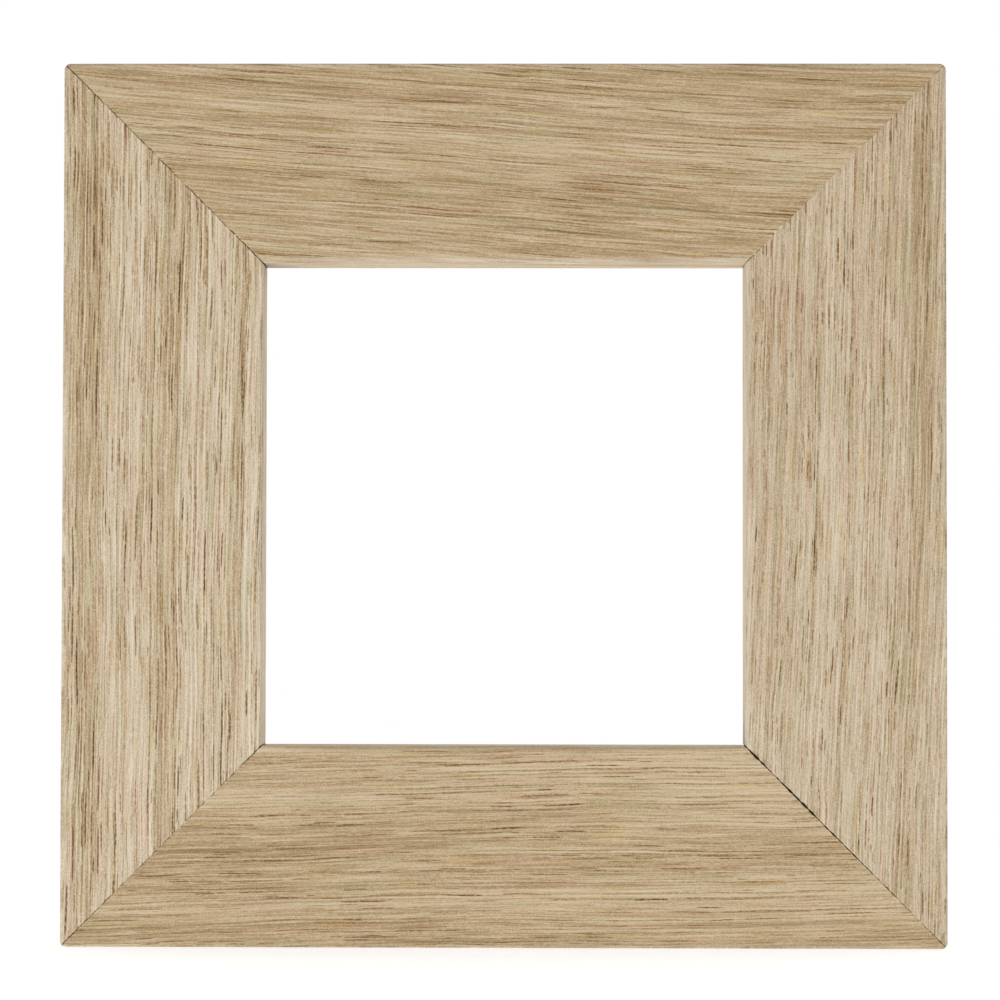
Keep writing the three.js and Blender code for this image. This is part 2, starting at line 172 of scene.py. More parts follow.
rail_low, rail_high = box_mm("rail_bottom")
mounts = {mount["name"]: Vector(mount["pos_m"]) / MM for mount in frame["record"]["mounts"]}
HALF_SIDE = cad_box[1].x / MM
CENTRE = Vector((0, 0, HALF_SIDE))
RAIL_WIDTH = rail_high.z
FRONT_Y = rail_low.y
BACK_Y = rail_high.y
LIP_Y = mounts["tile_ledge"].y
REBATE_A = mounts["tile_floor"].z


# Meshes


def add_object(name, mesh):
    piece = bpy.data.objects.new(name, mesh)
    bpy.context.scene.collection.objects.link(piece)
    return piece


def solid(name, points, faces, matrix=Matrix()):
    """A closed mesh from points in millimetres, placed by a matrix that is in millimetres too."""
    build = bmesh.new()
    corners = [build.verts.new((matrix @ Vector(point)) * MM) for point in points]
    for face in faces:
        build.faces.new([corners[i] for i in face])
    bmesh.ops.recalc_face_normals(build, faces=build.faces)
    mesh = bpy.data.meshes.new(name)
    build.to_mesh(mesh)
    build.free()
    return add_object(name, mesh)


def lofted(rings):
    """The points and faces of a body between rings of points, closed by a face at each end."""
    points = [point for ring in rings for point in ring]
    size = len(rings[0])
    faces = [list(range(size)), list(range(len(points) - size, len(points)))]
    for ring in range(len(rings) - 1):
        for i in range(size):
            near = ring * size
            far = near + size
            j = (i + 1) % size
            faces.append((near + i, near + j, far + j, far + i))
    return points, faces


def turned(levels, steps):
    """Rings about the Y axis, from pairs of height and radius. A radius may be a function of the angle."""
    rings = []
    for y, radius in levels:
        ring = []
        for i in range(steps):
            angle = math.tau * i / steps
            reach = radius(angle) if callable(radius) else radius
            ring.append((reach * math.cos(angle), y, reach * math.sin(angle)))
        rings.append(ring)
    return lofted(rings)


def smooth(piece, sharp_degrees):
    mesh = piece.data
    mesh.polygons.foreach_set("use_smooth", [True] * len(mesh.polygons))
    mesh.set_sharp_from_angle(angle=math.radians(sharp_degrees))


def cut(piece, cutters):
    """Takes the cutters out of the piece, and deletes them."""
    for cutter in cutters:
        modifier = piece.modifiers.new("cut", "BOOLEAN")
        modifier.operation = "DIFFERENCE"
        modifier.solver = "EXACT"
        modifier.object = cutter
    bpy.context.view_layer.update()
    evaluated = piece.evaluated_get(bpy.context.evaluated_depsgraph_get())
    old_mesh = piece.data
    new_mesh = bpy.data.meshes.new_from_object(evaluated)
    piece.modifiers.clear()
    piece.data = new_mesh
    new_mesh.name = piece.name
    bpy.data.meshes.remove(old_mesh)
    for cutter in cutters:
        bpy.data.meshes.remove(cutter.data)


def break_edges(piece, width, segments=2):
    """Bevels every edge that turns by more than 50 degrees."""
    build = bmesh.new()
    build.from_mesh(piece.data)
    limit = math.radians(50)
    edges = [edge for edge in build.edges if edge.is_manifold and edge.calc_face_angle() > limit]
    bmesh.ops.bevel(
        build,
        geom=edges,
        offset=width * MM,
        segments=segments,
        profile=0.5,
        affect="EDGES",
        clamp_overlap=True,
    )
    build.to_mesh(piece.data)
    build.free()


def quarter_turn(side):
    return Matrix.Translation(CENTRE) @ Matrix.Rotation(math.radians(SIDES[side]), 4, "Y")


def spread(start, end, count):
    return [start + (end - start) * i / count for i in range(count + 1)]


# Rails. A point of a rail has a, its distance in from the outer edge, and y, its depth.


def arc(a, y, radius, start_degrees):
    points = []
    for i in range(ROUND_STEPS + 1):
        angle = math.radians(start_degrees + 90 * i / ROUND_STEPS)
        points.append((a + radius * math.cos(angle), y + radius * math.sin(angle)))
    return points


def rail_section(outer_round, inner_round, depth=0.0):
    """The moulding's outline from the back's outer edge, round by the front, to the back again.

    For the floor of a groove its front is moved in by a depth, and its other faces by a little.
    """
    hold = EDGE_HOLD
    margin = min(depth, SIDE_GROOVE_DEPTH)
    side, front, back = margin, FRONT_Y + depth, BACK_Y - margin
    lip_side, lip_back, rebate_side = RAIL_WIDTH - margin, LIP_Y - margin, REBATE_A - margin
    outer, inner = side + outer_round, lip_side - inner_round
    section = [(side, y) for y in spread(back - BACK_ROUND - hold, front + outer_round + hold, 6)]
    section += arc(outer, front + outer_round, outer_round, 180)
    section += [(a, front) for a in spread(outer + hold, inner - hold, FRONT_CUTS)]
    section += arc(inner, front + inner_round, inner_round, 270)
    section += [(lip_side, y) for y in spread(front + inner_round + hold, lip_back - REBATE_ROUND - hold, 4)]
    section += arc(lip_side - REBATE_ROUND, lip_back - REBATE_ROUND, REBATE_ROUND, 0)
    section.append((rebate_side, lip_back))
    section += [(rebate_side, y) for y in spread(lip_back + hold, back - REBATE_ROUND - hold, 3)]
    section += arc(rebate_side - REBATE_ROUND, back - REBATE_ROUND, REBATE_ROUND, 0)
    section += [(a, back) for a in spread(rebate_side - REBATE_ROUND - hold, side + BACK_ROUND + hold, 12)]
    section += arc(side + BACK_ROUND, back - BACK_ROUND, BACK_ROUND, 90)
    return section


def path_length(a):
    """From the rail's middle to its mitre, at a distance a in from the frame's edge."""
    if a < CORNER_ROUND:
        return HALF_SIDE - CORNER_ROUND + (CORNER_ROUND - a) * math.pi / 4
    return HALF_SIDE - a


def on_path(a, y, run):
    """The point at a distance a in from the edge, after a run along the rail, which bends at its end."""
    straight = HALF_SIDE - CORNER_ROUND
    bend = abs(run) - straight
    if a < CORNER_ROUND and bend > 0:
        radius = CORNER_ROUND - a
        angle = bend / radius
        along = straight + radius * math.sin(angle)
        out = straight + radius * math.cos(angle)
        return math.copysign(along, run), y, -out
    return run, y, a - HALF_SIDE


def groove(corner, a):
    """Half the width of the mitre's groove at a distance a in from the frame's edge."""
    inner_width, inner_length, outer_width = JOINT_GROOVES[corner][:3]
    from_inner = RAIL_WIDTH - a
    share = max(0.0, min(1.0, 1.5 - from_inner / inner_length))
    width = outer_width + (inner_width - outer_width) * share
    waver = noise.noise(Vector((from_inner * GROOVE_BREAKS, CORNERS.index(corner) * 9.1, 0)))
    return width * max(0.1, 1 + GROOVE_WAVER * waver)


def rail_rings(side):
    seed = SIDES[side] * 0.37

    def eased(round_here, share, height):
        waver = 1 + EASING_SPREAD * noise.noise(Vector((share * 5, seed, height)))
        return MITRE_ROUND + (round_here * waver - MITRE_ROUND) * (1 - abs(share) ** 10)

    def section_at(share, depth=0.0):
        outer, inner = FRONT_ROUNDS[side]
        return rail_section(eased(outer, share, 0.3), eased(inner, share, 7.9), depth)

    rings = []
    for share in spread(-1, 1, RAIL_CUTS):
        rings.append([on_path(a, y, share * (path_length(a) - CORNER_ZONE)) for a, y in section_at(share)])
    plain = section_at(1)
    for end, corner in zip((-1, 1), RAIL_JOINTS[side]):
        ring_list = []
        for step in range(1, CORNER_CUTS + 1):
            share = step / CORNER_CUTS
            ring = []
            for a, y in plain:
                start = path_length(a) - CORNER_ZONE
                stop = path_length(a) - JOINT_HALF_GAP - groove(corner, a) * math.sqrt(2)
                ring.append(on_path(a, y, end * (start + (stop - start) * share)))
            ring_list.append(ring)
        deep = section_at(1, JOINT_GROOVES[corner][3])
        floor = [on_path(a, y, end * (path_length(a) - JOINT_HALF_GAP)) for a, y in deep]
        ring_list.append(floor)
        rings = ring_list[::-1] + rings if end < 0 else rings + ring_list
    return rings


def kerf(node, index):
    """A cutter of a V-nail's shape, grown by the gap that is left round it."""
    build = bmesh.new()
    build.from_mesh(frame["nodes"][node].data)
    bmesh.ops.remove_doubles(build, verts=build.verts, dist=0.001 * MM)
    bmesh.ops.recalc_face_normals(build, faces=build.faces)
    build.normal_update()
    for vertex, move in [(v, v.normal * v.calc_shell_factor() * KERF_GAP * MM) for v in build.verts]:
        vertex.co += move
    mesh = bpy.data.meshes.new(f"kerf_{index}")
    build.to_mesh(mesh)
    build.free()
    return add_object(f"kerf_{index}", mesh)


def drill(name, node, radius):
    """A cutter for the hole that a screw or a nail stands in."""
    low, high = box_mm(node)
    middle = (low + high) / 2
    levels = [(low.y - DRILL_GAP, radius * 0.5), (low.y + radius, radius), (BACK_Y + 1, radius)]
    points, faces = turned(levels, 32)
    return solid(name, points, faces, Matrix.Translation((middle.x, 0, middle.z)))


def make_rail(side):
    points, faces = lofted(rail_rings(side))
    rail = solid(f"oak_rail_{side}", points, faces, quarter_turn(side))
    nails = [f"v_nail_{corner}_{place}" for corner in RAIL_JOINTS[side] for place in ("outer", "inner")]
    cutters = [kerf(node, i) for i, node in enumerate(nails)]
    cutters.append(drill("pilot", f"turn_button_screw_{side}", SCREW_CREST_RADIUS + DRILL_GAP))
    if side == "top":
        cutters += [drill(f"hole_{end}", f"hanger_nail_{end}", NAIL_BORE_RADIUS) for end in ("left", "right")]
    cut(rail, cutters)
    smooth(rail, 40)
    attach(rail, "frame")
    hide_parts(f"rail_{side}")
    return rail


# Hardware


def strip_bend(distance, slope, half_bend):
    """The rise and the slope of a strip that bends smoothly from flat to a slope at distance 0."""
    if distance <= -half_bend:
        return 0.0, 0.0
    if distance >= half_bend:
        return slope * distance, slope
    share = distance + half_bend
    return slope * share * share / (4 * half_bend), slope * share / (2 * half_bend)


def pivot(side):
    low, high = box_mm(f"turn_button_screw_{side}")
    return (low + high) / 2


def button_outline():
    """The plate's plan about its pivot: a round head, and a narrower round fingertip on the -X side."""
    reach = (box_mm("turn_button_bottom")[0] - pivot("bottom")).x
    tip_x = -reach - BUTTON_TIP_RADIUS
    flank = math.acos((BUTTON_HEAD_RADIUS - BUTTON_TIP_RADIUS) / tip_x)
    outline = []
    steps = 28
    for angle in spread(flank - math.pi, math.pi - flank, steps):
        outline.append((BUTTON_HEAD_RADIUS * math.cos(angle), BUTTON_HEAD_RADIUS * math.sin(angle)))
    for angle in spread(math.pi - flank, math.pi + flank, steps):
        outline.append((BUTTON_TIP_RADIUS * math.cos(angle) - tip_x, BUTTON_TIP_RADIUS * math.sin(angle)))
    return outline, reach


def make_button(side):
    outline, reach = button_outline()
    rings = [[(x, y, z) for x, z in outline] for y in (0, BUTTON_THICKNESS)]
    points, faces = lofted(rings)
    name = f"turn_button_plate_{side}"
    plate = solid(name, points, faces)
    bore = solid("bore", *turned([(-1, BUTTON_BORE_RADIUS), (BUTTON_THICKNESS + 1, BUTTON_BORE_RADIUS)], 48))
    cut(plate, [bore])
    break_edges(plate, STAMPED_EDGE, 3)

    build = bmesh.new()
    build.from_mesh(plate.data)
    bend_x = reach + BUTTON_TAB_LENGTH
    for x in spread(bend_x - BUTTON_BEND, bend_x + BUTTON_BEND, 8):
        everything = list(build.verts) + list(build.edges) + list(build.faces)
        bmesh.ops.bisect_plane(build, geom=everything, plane_co=(x * MM, 0, 0), plane_no=(1, 0, 0))
    slope = BUTTON_TAB_RISE / BUTTON_TAB_LENGTH
    middle = BUTTON_THICKNESS / 2
    for vertex in build.verts:
        x, y, z = vertex.co / MM
        rise, steepness = strip_bend(bend_x - x, slope, BUTTON_BEND)
        normal = Vector((steepness, 1, 0)).normalized()
        bent = Vector((x, middle + rise, z)) + normal * (y - middle)
        vertex.co = bent * MM
    build.to_mesh(plate.data)
    build.free()
    underside = box_mm(f"turn_button_{side}")[0].y
    centre = pivot(side)
    plate.data.transform(
        Matrix.Translation(Vector((centre.x, underside, centre.z)) * MM)
        @ Matrix.Rotation(math.radians(SIDES[side]), 4, "Y")
    )
    smooth(plate, 50)
    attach(plate, BODIES[side])
    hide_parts(f"turn_button_{side}")
    return plate


def thread(y, length, neck):
    """The threaded shank's radius at a height below the head, as a function of the angle."""
    to_tip = min(1.0, (y + length) / SCREW_TIP_LENGTH)
    core = SCREW_TIP_RADIUS + (SCREW_CORE_RADIUS - SCREW_TIP_RADIUS) * to_tip
    fade = max(0.0, min(to_tip, (-neck - y) / SCREW_PITCH))

    def radius(angle):
        turns = y / SCREW_PITCH - angle / math.tau
        from_crest = abs(turns - math.floor(turns) - 0.5)
        ridge = max(0.0, 1 - 2 * from_crest / SCREW_RIDGE_SHARE)
        return core + (SCREW_CREST_RADIUS - SCREW_CORE_RADIUS) * ridge * fade

    return radius


def recess_wing(turn):
    """One bar of the cross recess, which narrows towards its floor."""
    top = SCREW_HEAD_HEIGHT + 0.2
    floor = SCREW_HEAD_HEIGHT - SCREW_RECESS_DEPTH
    rings = []
    for y, share in ((floor, 0.5), (top, 1.0)):
        half_span = SCREW_RECESS_SPAN / 2 * share
        half_width = SCREW_RECESS_WIDTH / 2 * (0.4 + 0.6 * share)
        corners = ((-1, -1), (1, -1), (1, 1), (-1, 1))
        rings.append([(sx * half_span, y, sz * half_width) for sx, sz in corners])
    points, faces = lofted(rings)
    return solid(f"wing_{turn}", points, faces, Matrix.Rotation(math.radians(turn), 4, "Y"))


def make_screw(side):
    low, high = box_mm(f"turn_button_screw_{side}")
    seat = high.y - SCREW_HEAD_HEIGHT
    length = seat - low.y
    head_radius = (high.x - low.x) / 2
    steps = 40
    ring_step = SCREW_PITCH / 12
    levels = []
    ring_count = round((length - SCREW_NECK) / ring_step)
    for i in range(ring_count + 1):
        y = -length + i * (length - SCREW_NECK) / ring_count
        levels.append((y, thread(y, length, SCREW_NECK)))
    levels += [(-SCREW_NECK + 0.15, SCREW_CREST_RADIUS), (-0.05, SCREW_CREST_RADIUS)]
    levels += [(0, SCREW_CREST_RADIUS + SCREW_FILLET), (0, head_radius - SCREW_HEAD_EASE)]
    levels += [(0.04, head_radius - 0.04), (0.16, head_radius)]
    for i in range(13):
        angle = math.pi / 2 * i / 13
        height = SCREW_DOME_FROM + (SCREW_HEAD_HEIGHT - SCREW_DOME_FROM) * math.sin(angle)
        levels.append((height, head_radius * math.cos(angle) ** 0.62))
    levels.append((SCREW_HEAD_HEIGHT, 0.12))
    points, faces = turned(levels, steps)
    centre = (low + high) / 2
    screw = solid(f"pan_head_screw_{side}", points, faces)
    cut(screw, [recess_wing(0), recess_wing(90)])
    screw.data.transform(
        Matrix.Translation(Vector((centre.x, seat, centre.z)) * MM)
        @ Matrix.Rotation(math.radians(SIDES[side] + SCREW_RECESS_TURN), 4, "Y")
    )
    smooth(screw, 35)
    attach(screw, "frame")
    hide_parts(f"turn_button_screw_{side}")
    return screw


def make_hanger():
    low, high = box_mm("sawtooth_hanger")
    middle = (low + high) / 2
    half_length = (high.x - low.x) / 2
    half_height = (high.z - low.z) / 2
    foot_end = half_length - HANGER_FOOT
    slope = (high.y - low.y - HANGER_THICKNESS) / HANGER_RAMP
    first = -(TOOTH_COUNT - 1) * TOOTH_PITCH / 2
    flat_half = TOOTH_PITCH / 6  # half of a tooth's flat tip

    def teeth(x):
        nearest = round((x - first) / TOOTH_PITCH)
        if not 0 <= nearest < TOOTH_COUNT:
            return 0.0
        from_notch = abs(x - first - nearest * TOOTH_PITCH)
        return TOOTH_DEPTH * max(0.0, 1 - from_notch / (TOOTH_PITCH / 2 - flat_half))

    def rounded(x):
        past = abs(x) - (half_length - HANGER_CORNER)
        if past <= 0:
            return 0.0
        share = min(1.0, past / HANGER_CORNER)
        return HANGER_CORNER * (1 - math.sqrt(1 - share * share))

    places = set()
    for i in range(TOOTH_COUNT):
        notch = first + i * TOOTH_PITCH
        places |= {notch - TOOTH_PITCH / 2 + flat_half, notch, notch + TOOTH_PITCH / 2 - flat_half}
    for bend in (foot_end, foot_end - HANGER_RAMP):
        for shift in spread(-HANGER_BEND, HANGER_BEND, 6):
            places |= {bend + shift, -bend - shift}
    for share in spread(0, 1, 6):
        x = half_length - HANGER_CORNER * (1 - math.sin(math.pi / 2 * share))
        places |= {x, -x}
    rings = []
    for x in sorted(places):
        up, up_slope = strip_bend(foot_end - abs(x), slope, HANGER_BEND)
        back, back_slope = strip_bend(foot_end - HANGER_RAMP - abs(x), slope, HANGER_BEND)
        rise = up - back
        steepness = math.copysign(up_slope - back_slope, x)
        normal = Vector((steepness, 1, 0)).normalized() * HANGER_THICKNESS / 2
        centre_line = Vector((x, HANGER_THICKNESS / 2 + rise, 0))
        bottom = -half_height + teeth(x) + rounded(x)
        top = half_height - rounded(x)
        ring = []
        for sign, z in ((-1, bottom), (1, bottom), (1, top), (-1, top)):
            ring.append(tuple(centre_line + normal * sign + Vector((0, 0, z))))
        rings.append(ring)
    points, faces = lofted(rings)
    place = Matrix.Translation((middle.x, low.y, middle.z))
    hanger = solid("sawtooth_hanger_strip", points, faces, place)
    bores = []
    for end in ("left", "right"):
        nail_low, nail_high = box_mm(f"hanger_nail_{end}")
        x = (nail_low.x + nail_high.x) / 2
        levels = [(-1, NAIL_BORE_RADIUS), (HANGER_THICKNESS + 1, NAIL_BORE_RADIUS)]
        bores.append(solid(f"bore_{end}", *turned(levels, 32), Matrix.Translation((x, low.y, middle.z))))
    cut(hanger, bores)
    break_edges(hanger, STRIP_EDGE)
    smooth(hanger, 45)
    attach(hanger, "frame")
    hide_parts("sawtooth_hanger")
    return hanger


def make_hanger_nail(end):
    low, high = box_mm(f"hanger_nail_{end}")
    length = high.y - low.y - NAIL_HEAD_HEIGHT
    head_radius = (high.z - low.z) / 2
    levels = [(-length, 0.03), (NAIL_POINT - length, NAIL_RADIUS), (-0.1, NAIL_RADIUS)]
    levels += [(0, NAIL_RADIUS + 0.1), (0, head_radius - 0.08), (0.08, head_radius)]
    for i in range(9):
        angle = math.pi / 2 * i / 9
        y = 0.2 + (NAIL_HEAD_HEIGHT - 0.2) * math.sin(angle)
        levels.append((y, head_radius * math.cos(angle) ** 0.5))
    levels.append((NAIL_HEAD_HEIGHT, 0.05))
    points, faces = turned(levels, 40)
    centre = (low + high) / 2
    place = Matrix.Translation((centre.x, high.y - NAIL_HEAD_HEIGHT, centre.z))
    nail = solid(f"round_head_nail_{end}", points, faces, place)
    smooth(nail, 40)
    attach(nail, "frame")
    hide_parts(f"hanger_nail_{end}")
    return nail


def make_bumper(corner):
    low, high = box_mm(f"bumper_{corner}")
    radius = (high.x - low.x) / 2
    height = high.y - low.y
    levels = [(0, radius - BUMPER_FOOT_EASE), (BUMPER_FOOT_EASE, radius)]
    for i in range(11):
        angle = math.pi / 2 * i / 10
        out = radius - BUMPER_ROUND * (1 - math.cos(angle))
        levels.append((height - BUMPER_ROUND * (1 - math.sin(angle)), out))
    levels.append((height, radius * 0.4))
    points, faces = turned(levels, 64)
    centre = (low + high) / 2
    place = Matrix.Translation((centre.x, low.y, centre.z))
    bumper = solid(f"rubber_bumper_{corner}", points, faces, place)
    smooth(bumper, 40)
    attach(bumper, "frame")
    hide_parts(f"bumper_{corner}")
    return bumper


# Materials


def srgb(red, green, blue):
    """A colour as a screen shows it, from 0 to 255, in Blender's linear values."""
    linear = []
    for channel in (red, green, blue):
        share = channel / 255
        linear.append(share / 12.92 if share <= 0.04045 else ((share + 0.055) / 1.055) ** 2.4)
    return (*linear, 1.0)


class Value:
    """A number that a material works out at each point, used with ordinary arithmetic."""

    def __init__(self, paint, socket):
        self.paint = paint
        self.socket = socket

    def __add__(self, other):
        return self.paint.math("ADD", self, other)

    def __sub__(self, other):
        return self.paint.math("SUBTRACT", self, other)

    def __rsub__(self, other):
        return self.paint.math("SUBTRACT", other, self)

    def __mul__(self, other):
        return self.paint.math("MULTIPLY", self, other)

    def __abs__(self):
        return self.paint.math("ABSOLUTE", self)

    __radd__ = __add__
    __rmul__ = __mul__


class Paint:
    """A material with a Principled shader, and short ways to add the nodes that feed it."""

    def __init__(self, name):
        self.material = bpy.data.materials.new(name)
        self.material.use_nodes = True
        self.tree = self.material.node_tree
        self.shader = self.tree.nodes["Principled BSDF"]
        self.seed = 0.0

    def node(self, kind, inputs=(), **settings):
        node = self.tree.nodes.new(kind)
        for name, value in settings.items():
            setattr(node, name, value)
        for name, value in dict(inputs).items():
            self.put(node.inputs[name], value)
        return node

    def put(self, socket, value):
        if isinstance(value, Value):
            self.tree.links.new(value.socket, socket)
        else:
            socket.default_value = value

    def set(self, **inputs):
        """Sets the shader's own sockets. An underscore stands for a space in a socket's name."""
        for name, value in inputs.items():
            self.put(self.shader.inputs[name.replace("_", " ")], value)

    def value(self, socket):
        return Value(self, socket)

    def math(self, operation, *terms):
        node = self.node("ShaderNodeMath", operation=operation)
        for socket, term in zip(node.inputs, terms):
            self.put(socket, term)
        return self.value(node.outputs[0])

    def place(self, matrix_turn, location):
        """The point in millimetres as X, Y and Z, turned about Y and then moved."""
        coordinates = self.node("ShaderNodeTexCoord")
        inputs = {
            "Vector": self.value(coordinates.outputs["Object"]),
            "Scale": (1 / MM, 1 / MM, 1 / MM),
            "Rotation": (0, matrix_turn, 0),
            "Location": location,
        }
        mapping = self.node("ShaderNodeMapping", inputs)
        parts = self.node("ShaderNodeSeparateXYZ", {"Vector": self.value(mapping.outputs[0])})
        return [self.value(output) for output in parts.outputs]

    def vector(self, x, y, z=0.0):
        return self.value(self.node("ShaderNodeCombineXYZ", {"X": x, "Y": y, "Z": z}).outputs[0])

    def stretched(self, point, sizes):
        """The point measured in cells of the given sizes, with a new start for each pattern."""
        self.seed += 7.31
        return self.vector(*(axis * (1 / size) + self.seed for axis, size in zip(point, sizes)))

    def noise(self, point, size, detail=0.0):
        """Soft random values about 0, mostly from -0.35 to 0.35, in two dimensions or three."""
        flat = len(point) == 2
        inputs = {
            "Vector": self.stretched(point, size),
            "Scale": 1.0,
            "Detail": detail,
            "Roughness": 0.5,
        }
        node = self.node("ShaderNodeTexNoise", inputs, noise_dimensions="2D" if flat else "3D")
        return self.value(node.outputs["Fac"]) - 0.5

    def chances(self, first, second):
        """Three random values from 0 to 1 for each pair of whole numbers."""
        self.seed += 7.31
        inputs = {"Vector": self.vector(first, second, self.seed)}
        node = self.node("ShaderNodeTexWhiteNoise", inputs, noise_dimensions="3D")
        parts = self.node("ShaderNodeSeparateColor", {"Color": self.value(node.outputs["Color"])})
        return [self.value(output) for output in parts.outputs]

    def step(self, value, low, high):
        """0 below low and 1 above high, or the other way round when low is the larger."""
        inputs = {"Value": value, "From Min": low, "From Max": high}
        node = self.node("ShaderNodeMapRange", inputs, interpolation_type="SMOOTHSTEP")
        return self.value(node.outputs["Result"])

    def clamp(self, value):
        return self.value(self.node("ShaderNodeClamp", {"Value": value}).outputs[0])

    def mix(self, first, second, share, blend="MIX"):
        node = self.node("ShaderNodeMix", data_type="RGBA", blend_type=blend, clamp_factor=True)
        self.put(node.inputs["Factor"], share)
        for name, colour in (("A_Color", first), ("B_Color", second)):
            socket = next(s for s in node.inputs if s.identifier == name)
            self.put(socket, colour)
        return self.value(next(s for s in node.outputs if s.identifier == "Result_Color"))

    def ramp(self, value, stops):
        """A colour read off a line through stops of position and colour."""
        node = self.node("ShaderNodeValToRGB", {"Fac": value})
        ramp_stops = node.color_ramp.elements
        while len(ramp_stops) < len(stops):
            ramp_stops.new(0.5)
        for stop, (position, colour) in zip(ramp_stops, stops):
            stop.position = position
            stop.color = colour
        return self.value(node.outputs["Color"])

    def profile(self, value, stops):
        """A height read off a line through stops of position and height, both from 0 to 1."""
        return self.ramp(value, [(position, (height, height, height, 1)) for position, height in stops])

    def bump(self, height, depth):
        """A relief, with heights in shares of a depth in millimetres."""
        node = self.node("ShaderNodeBump", {"Height": height, "Distance": depth * MM, "Strength": 1.0})
        self.put(self.shader.inputs["Normal"], self.value(node.outputs["Normal"]))


# How each rail's oak looks:
# "colours" run from the palest wood to the brownest.
# "lean" is the grain's slope at the rail's middle, and "bend" how much it changes towards an end.
# "drift" is how much browner the rail's last end is than its middle.
# "across" gives the tone from the outer edge, at 0, to the inner one, at 1.
# "ring" is a growth ring's mean width.
# "streaks" and "dashes" are the strengths of the fibres and vessels.
# "length" and "width" stretch the vessels.
# The last entry is how pale a painted sheen makes the outer and the inner front edge.
OAK_LOOKS = {
    "top": {
        "colours": (
            srgb(209, 190, 159),
            srgb(193, 170, 134),
            srgb(173, 148, 109),
            srgb(150, 122, 82),
        ),
        "lean": -0.07,
        "bend": -0.035,
        "drift": -0.01,
        "across": (
            (0.0, 0.55), (0.25, 0.42), (0.42, 0.28), (0.55, 0.42), (0.66, 0.52), (0.85, 0.4), (1.0, 0.36),
        ),
        "ring": 2.3,
        "streaks": 1.0,
        "dashes": 0.8,
        "length": 1.7,
        "width": 0.7,
        "edge_sheen": (0.15, 0.38),
    },
    "right": {
        "colours": (
            srgb(221, 207, 184),
            srgb(206, 188, 160),
            srgb(183, 162, 129),
            srgb(157, 133, 97),
        ),
        "lean": -0.035,
        "bend": 0.0,
        "drift": 0.11,
        "across": (
            (0.0, 0.45), (0.16, 0.6), (0.27, 0.38), (0.5, 0.38), (0.54, 0.28), (0.75, 0.4), (1.0, 0.4),
        ),
        "ring": 2.1,
        "streaks": 0.8,
        "dashes": 0.88,
        "length": 0.9,
        "width": 0.88,
        "edge_sheen": (0.2, 0.4),
    },
    "bottom": {
        "colours": (
            srgb(211, 193, 162),
            srgb(198, 176, 141),
            srgb(177, 152, 113),
            srgb(153, 126, 88),
        ),
        "lean": 0.02,
        "bend": 0.0,
        "drift": -0.11,
        "across": (
            (0.0, 0.75), (0.1, 0.52), (0.23, 0.25), (0.4, 0.5), (0.58, 0.52), (0.7, 0.36), (1.0, 0.28),
        ),
        "ring": 2.5,
        "streaks": 0.85,
        "dashes": 0.9,
        "length": 1.2,
        "width": 0.75,
        "edge_sheen": (0.15, 0.1),
    },
    "left": {
        "colours": (
            srgb(227, 214, 192),
            srgb(212, 195, 167),
            srgb(188, 167, 132),
            srgb(160, 135, 99),
        ),
        "lean": -0.008,
        "bend": -0.018,
        "drift": -0.08,
        "across": (
            (0.0, 0.4), (0.13, 0.58), (0.26, 0.3), (0.42, 0.3), (0.5, 0.5), (0.6, 0.34), (1.0, 0.34),
        ),
        "ring": 2.3,
        "streaks": 0.8,
        "dashes": 1.15,
        "length": 1.5,
        "width": 0.95,
        "edge_sheen": (0.25, 0.3),
    },
}
PORE_TINTS = ((0.0, srgb(255, 255, 255)), (0.55, srgb(196, 173, 139)), (1.0, srgb(116, 91, 58)))
PINK = srgb(254, 248, 249)
GREEN = srgb(244, 250, 244)
OCHRE = srgb(255, 250, 228)
# The pale colour of the painted sheen on the rails' front edges
SHEEN_PALE = srgb(232, 222, 206)
JOINT_BROWN = srgb(84, 52, 27)
CHIP_PALE = srgb(226, 211, 183)

# Streaks of fibres: how wide, how long and how strong
OAK_STREAKS = (
    (0.25, 1.2, 0.8),
    (0.18, 9.0, 1.0),
    (0.4, 14.0, 1.25),
    (0.8, 35.0, 0.42),
    (1.6, 60.0, 0.35),
    (3.0, 100.0, 0.3),
)

# Vessels cut open, as dashes laid out in rows: the rows' pitch, the length of a cell, the dash's half width,
# the share of cells that hold one, and how dark it is
OAK_DASHES = (
    (1.6, 12.0, 0.22, 1.0, 1.0),
    (1.2, 8.0, 0.18, 0.8, 0.95),
    (1.0, 24.0, 0.14, 0.85, 0.6),
    (0.7, 5.0, 0.15, 0.6, 0.8),
)


